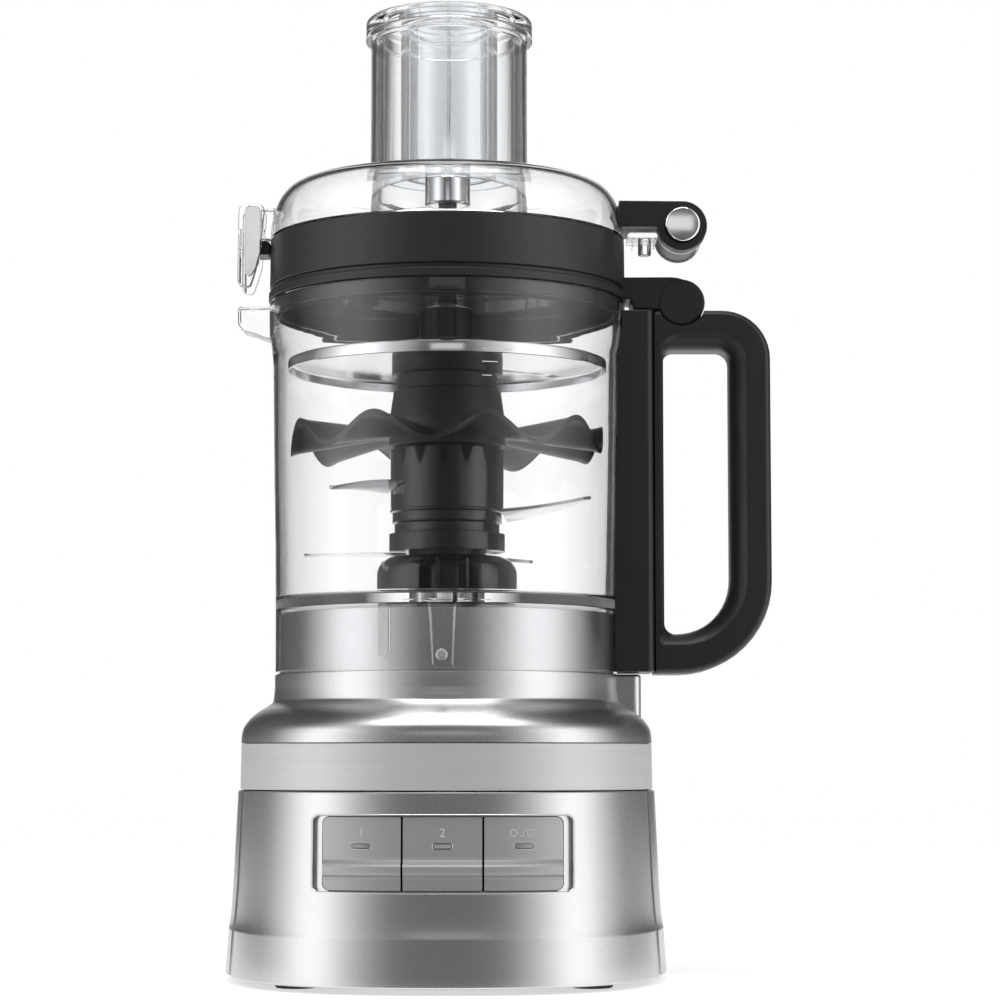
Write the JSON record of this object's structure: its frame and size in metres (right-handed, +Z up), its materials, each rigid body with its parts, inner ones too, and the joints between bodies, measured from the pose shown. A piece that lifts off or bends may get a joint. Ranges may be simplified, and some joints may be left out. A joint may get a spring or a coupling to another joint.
{
  "type": "food processor",
  "caption": "Upright food processor: button base with belt drive, lift-off clear bowl with loop handle, spinning tools, and a hinged, latched lid with a feed tube and nested pushers.",
  "frame": {"origin": "on the surface that the feet stand on, under the middle of the object's bounding box", "axes": "+Z up along the bowl's height; -Y is the front with the buttons, +X is the side with the handle"},
  "size_m": [0.2462, 0.2248, 0.4546],
  "materials": {
    "satin_silver": "satin metallic silver, fine metallic speckle",
    "brushed_band": "brushed light aluminium trim",
    "button_grey": "satin mid-grey plastic",
    "lens_white": "frosted white indicator lens",
    "clear_plastic": "clear moulded plastic, polished",
    "black_plastic": "satin black moulded plastic",
    "gloss_black": "gloss black moulded plastic",
    "chrome": "polished chrome",
    "steel": "stamped stainless steel",
    "rubber": "black rubber",
    "copper_winding": "copper windings on a steel stack",
    "board_green": "green circuit board"
  },
  "bodies": {
    "base": {"front_housing": "satin_silver", "rear_housing": "satin_silver", "trim_band": "brushed_band", "top_cover": "satin_silver", "bottom_plate": "black_plastic", "rubber_foot_1": "rubber", "rubber_foot_2": "rubber", "rubber_foot_3": "rubber", "rubber_foot_4": "rubber", "cord_gland": "rubber", "button_bezel": "satin_silver", "control_board": "board_green", "interlock_switch": "black_plastic", "chassis_plate": "steel", "lower_bearing": "steel", "upper_bearing": "steel", "drive_belt": "rubber", "motor_stator": "copper_winding"},
    "drive": {"drive_pulley": "black_plastic", "drive_shaft": "steel"},
    "motor": {"motor_pulley": "steel", "motor_rotor": "steel", "cooling_fan": "black_plastic"},
    "button_low": {"low_button": "button_grey", "low_indicator_lens": "lens_white"},
    "button_high": {"high_button": "button_grey", "high_indicator_lens": "lens_white"},
    "button_pulse": {"pulse_button": "button_grey", "pulse_indicator_lens": "lens_white"},
    "bowl": {"bowl": "clear_plastic", "handle_grip": "black_plastic", "handle_column": "black_plastic"},
    "interlock": {"interlock_rod": "steel"},
    "tools": {"drive_adapter": "black_plastic", "blade_shroud": "gloss_black", "blade_hub": "gloss_black", "lower_blade_left": "steel", "lower_blade_right": "steel", "upper_blade_left": "steel", "upper_blade_right": "steel", "whisk_hub": "black_plastic", "whisk_disc": "black_plastic", "disc_hub": "black_plastic", "slicing_disc": "steel", "slicing_blade": "steel"},
    "lid": {"lid_ring": "black_plastic", "lid_seal": "rubber", "latch_boss": "black_plastic", "lid_dome": "clear_plastic", "lid_bearing": "chrome", "hinge_arm": "black_plastic", "upper_arm": "black_plastic", "barrel_ring": "chrome", "lock_plate": "clear_plastic"},
    "latch": {"latch_lever": "clear_plastic", "latch_cheek": "chrome", "latch_pin": "steel"},
    "lid_button": {"lid_button": "chrome"},
    "large_pusher": {"large_pusher": "clear_plastic"},
    "small_pusher": {"small_pusher": "clear_plastic"}
  },
  "joints": [
    {"name": "bowl_lift", "type": "slide", "parent": "base", "child": "bowl", "axis": [0, 0, 1], "range_m": [0, 0.12]},
    {"name": "lid_hinge", "type": "hinge", "parent": "bowl", "child": "lid", "pos_m": [0.08285, -0.01556, 0.306], "axis": [0, 1, 0], "range_deg": [0, 80]},
    {"name": "latch_pivot", "type": "hinge", "parent": "lid", "child": "latch", "pos_m": [-0.11265, -0.01556, 0.332], "axis": [0, 1, 0], "range_deg": [0, 11]},
    {"name": "lid_button_press", "type": "slide", "parent": "lid", "child": "lid_button", "axis": [0, 1, 0], "range_m": [0, 0.003], "stiffness_N_per_m": 300},
    {"name": "large_pusher_slide", "type": "slide", "parent": "lid", "child": "large_pusher", "axis": [0, 0, 1], "range_m": [0, 0.07]},
    {"name": "small_pusher_slide", "type": "slide", "parent": "large_pusher", "child": "small_pusher", "axis": [0, 0, 1], "range_m": [0, 0.08]},
    {"name": "drive_spin", "type": "hinge", "parent": "base", "child": "drive", "pos_m": [-0.02415, -0.01556, 0.013], "axis": [0, 0, 1], "continuous": true},
    {"name": "motor_spin", "type": "hinge", "parent": "base", "child": "motor", "pos_m": [-0.02415, 0.04644, 0.013], "axis": [0, 0, 1], "continuous": true},
    {"name": "tool_spin", "type": "hinge", "parent": "bowl", "child": "tools", "pos_m": [-0.02415, -0.01556, 0.24], "axis": [0, 0, 1], "continuous": true},
    {"name": "interlock_slide", "type": "slide", "parent": "bowl", "child": "interlock", "axis": [0, 0, -1], "range_m": [0, 0.004], "stiffness_N_per_m": 200, "springref_m": -0.002},
    {"name": "low_button_press", "type": "slide", "parent": "base", "child": "button_low", "axis": [0, 1, 0], "range_m": [0, 0.0025], "stiffness_N_per_m": 400},
    {"name": "high_button_press", "type": "slide", "parent": "base", "child": "button_high", "axis": [0, 1, 0], "range_m": [0, 0.0025], "stiffness_N_per_m": 400},
    {"name": "pulse_button_press", "type": "slide", "parent": "base", "child": "button_pulse", "axis": [0, 1, 0], "range_m": [0, 0.0025], "stiffness_N_per_m": 400}
  ],
  "couplings": [
    {"joint": "motor_spin", "follows": "drive_spin", "ratio": 4.4444},
    {"joint": "tool_spin", "follows": "drive_spin", "ratio": 1}
  ]
}
